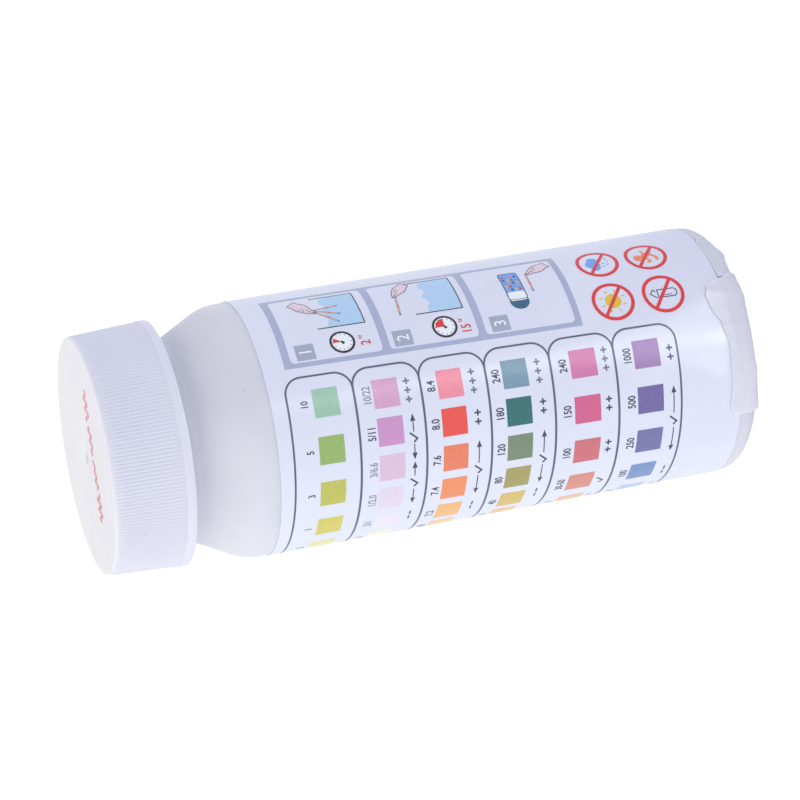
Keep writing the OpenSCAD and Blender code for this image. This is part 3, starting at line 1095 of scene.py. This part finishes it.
def under(s):
    """Point (r, z) a distance s down the tab's path over film and heel, and the outward normal there."""
    if s < TAB_WALL + TAB_STEP:
        step_in = max(0.0, s - TAB_WALL)
        return (LABEL_R + 0.02 - 0.13 * step_in, TAB_TOP_Z - s), (1, 0)
    a = max((TAB_WALL + TAB_STEP - s) / HEEL_R, -1.25)
    r = HEEL_R + 0.04
    return (HEEL[0] + r * math.cos(a), HEEL[1] + r * math.sin(a)), (math.cos(a), math.sin(a))


def keyed(keys, x):
    """A smooth curve through (x, value) pairs."""
    for (a, va), (b, vb) in zip(keys, keys[1:]):
        if a <= x <= b:
            t = (x - a) / (b - a)
            return va + (vb - va) * t * t * (3 - 2 * t)
    return keys[-1][1]


def bell(x, centre, width):
    return math.exp(-((x - centre) / width) ** 2)


def film(bm, deg0, deg1, top, bottom, lift, across=90, down=26, thick=0.11, rim=1.0):
    """Thin sheet round the heel, from an upper edge given as z to a lower one given as a distance s."""
    grid = {}
    for i in range(across + 1):
        deg = deg0 + (deg1 - deg0) * i / across
        s0 = TAB_TOP_Z - keyed(top, deg) + 0.05 * noise.noise(Vector((deg * 0.4, 0, 3)))
        s1 = keyed(bottom, deg) + 0.08 * noise.noise(Vector((deg * 0.3, 5, 0)))
        for j in range(down + 1):
            t = j / down
            (r, z), (nr, nz) = under(s0 + (s1 - s0) * t)
            fold = 0.3 * max(0, noise.noise(Vector((deg * 0.11, t * 2.2, 1.3)))) ** 2
            ripple = 0.03 * noise.noise(Vector((deg * 0.35, t * 5, 9)))
            edge = 0.16 * math.exp(-min(i, across - i) / 2.5) + 0.1 * math.exp(-j / 1.6)
            h = max(0.0, 0.02 + (fold + ripple + edge) * rim + lift(deg, t))
            for side in (0, 1):
                out = h + side * thick
                around = math.radians(deg) - math.pi / 2
                grid[side, i, j] = bm.verts.new(turned(r + nr * out, around, max(0.02, z + nz * out)))
    skin_sheet(bm, grid, across, down)


def heel_tab():
    """A main piece with one straight outer edge, and a narrow torn tail of the same film."""
    bm = bmesh.new()
    main_top = [(-34, 4.6), (-31, 5.3), (-15, 4.9), (0, 4.75), (9, 5.2), (17, 6.3), (23, 6.6), (28, 5.9),
                (30, 5.0), (31.6, 2.6), (34, 1.6)]
    main_bottom = [(-34, 7.0), (-26, 6.9), (-6, 6.45), (16, 6.9), (26, 7.2), (31, 6.9), (34, 6.2)]
    tail_top = [(32, 3.4), (44, 3.5), (55, 3.6), (62, 3.0)]
    tail_bottom = [(32, 5.7), (43, 6.2), (50, 6.5), (58, 5.6), (62, 4.6)]

    def main_lift(deg, t):
        """A slanted fold, and both ends standing off the round heel."""
        ends = 0.55 * bell(deg, 24, 8) + 0.4 * bell(deg, -33, 8)
        return 0.2 * bell(deg, 25.5 - 5 * t, 1.6) + t * t * ends

    def tail_lift(deg, t):
        return 0.35 * bell(deg, 48, 4) * t

    film(bm, -33.5, 33.5, main_top, main_bottom, main_lift)
    film(bm, 32.2, 62.0, tail_top, tail_bottom, tail_lift, 40, 14, 0.06, 0.1)
    tab = add("heel_tab", bm, [tab_film], "bottle", angle=60)
    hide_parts("base_sticker")


heel_tab()


# -------------------------------------------- floor, light and camera
def white_floor():
    """Pale floor that shows near white; from below it is clear, so the foot can be looked at."""
    bpy.ops.mesh.primitive_plane_add(size=8)
    floor = bpy.context.object
    floor.name = "floor"
    m, nt, p, co = build("floor")
    p.inputs["Base Color"].default_value = (0.70, 0.72, 0.80, 1)
    p.inputs["Roughness"].default_value = 0.9
    p.inputs["Specular IOR Level"].default_value = 0.0
    p.inputs["Emission Color"].default_value = (1, 1, 1, 1)
    seen = nt.nodes.new("ShaderNodeLightPath").outputs["Is Camera Ray"]
    nt.links.new(ramp(nt, seen, 0.165, 0.75, 0, 1, "LINEAR"), p.inputs["Emission Strength"])
    clear = nt.nodes.new("ShaderNodeBsdfTransparent")
    either = nt.nodes.new("ShaderNodeMixShader")
    facing = nt.nodes.new("ShaderNodeNewGeometry")
    nt.links.new(facing.outputs["Backfacing"], either.inputs[0])
    nt.links.new(p.outputs[0], either.inputs[1])
    nt.links.new(clear.outputs[0], either.inputs[2])
    nt.links.new(either.outputs[0], nt.nodes["Material Output"].inputs[0])
    floor.data.materials.append(m)
    floor.location.z = -0.02 * MM


def studio_world():
    """Surroundings that are cool from +X, warm from -X and from above, and strongest from above."""
    world = bpy.data.worlds.new("studio")
    scene.world = world
    world.use_nodes = True
    nt = world.node_tree
    nt.nodes.clear()
    out = nt.nodes.new("ShaderNodeOutputWorld")
    bg = nt.nodes.new("ShaderNodeBackground")
    nt.links.new(bg.outputs[0], out.inputs[0])
    sep = nt.nodes.new("ShaderNodeSeparateXYZ")
    nt.links.new(nt.nodes.new("ShaderNodeNewGeometry").outputs["Incoming"], sep.inputs[0])
    # Incoming points back at the viewer, so its +x is light from -X
    x, z = sep.outputs["X"], sep.outputs["Z"]
    colour = mix(nt, ramp(nt, x, 0, 1, 0.0, 0.95, "LINEAR"), (0.80, 0.83, 1.0, 1), (1.0, 0.985, 0.945, 1))
    colour = mix(nt, ramp(nt, z, 1, 0, -0.95, -0.2, "LINEAR"), colour, (1.0, 0.985, 0.955, 1))
    nt.links.new(colour, bg.inputs["Color"])
    power = nt.nodes.new("ShaderNodeMath")
    power.operation = "MULTIPLY"
    nt.links.new(ramp(nt, x, 0.82, 1.06, -0.6, 1.0, "LINEAR"), power.inputs[0])
    nt.links.new(ramp(nt, z, 1.3, 0.96, -1.0, -0.3, "LINEAR"), power.inputs[1])
    nt.links.new(power.outputs[0], bg.inputs["Strength"])


def area(name, place, size, size_y, watts):
    """Rectangular light that the camera does not see."""
    light = bpy.data.lights.new(name, "AREA")
    light.shape = "RECTANGLE"
    light.size = size
    light.size_y = size_y
    light.energy = watts
    o = bpy.data.objects.new(name, light)
    scene.collection.objects.link(o)
    o.location = place
    o.visible_camera = False
    return o


def studio_lights():
    """Two strips lying in front of the foot give the gloss line along the chart; one light fills a side."""
    strips = [("gloss_strip", 0.0472, 0.0275, 0.075), ("gloss_line", 0.0468, 0.0036, 0.048)]
    for name, x, width, watts in strips:
        strip = area(name, (x, -0.213, 0.002), width, 0.385, watts)
        strip.rotation_euler = (math.pi, 0, math.radians(13.5))
        strip.visible_diffuse = False
    fill = area("side_fill", (-0.6, -0.1, 0.2), 0.5, 0.5, 0.5)
    aim = Vector((0, 0, 0.05)) - Vector(fill.location)
    fill.rotation_euler = aim.to_track_quat("-Z", "Y").to_euler()


def camera():
    """Rolled camera, so that the standing bottle is seen lying with its cap to the left."""
    cam = bpy.data.objects.new("camera", bpy.data.cameras.new("camera"))
    scene.collection.objects.link(cam)
    cam.data.lens = 133.7
    cam.data.sensor_width = 36
    cam.data.clip_start = 0.01
    cam.data.clip_end = 20
    right = Vector((-0.172922, -0.274306, -0.945968)).normalized()
    up = Vector((0.984935, -0.048617, -0.165947))
    up = (up - right * up.dot(right)).normalized()
    back = right.cross(up)
    pose = Matrix((right, up, back)).transposed().to_4x4()
    pose.translation = Vector((0.0, -0.44903, 0.1832))
    cam.matrix_world = pose
    scene.camera = cam


white_floor()
studio_world()
studio_lights()
camera()
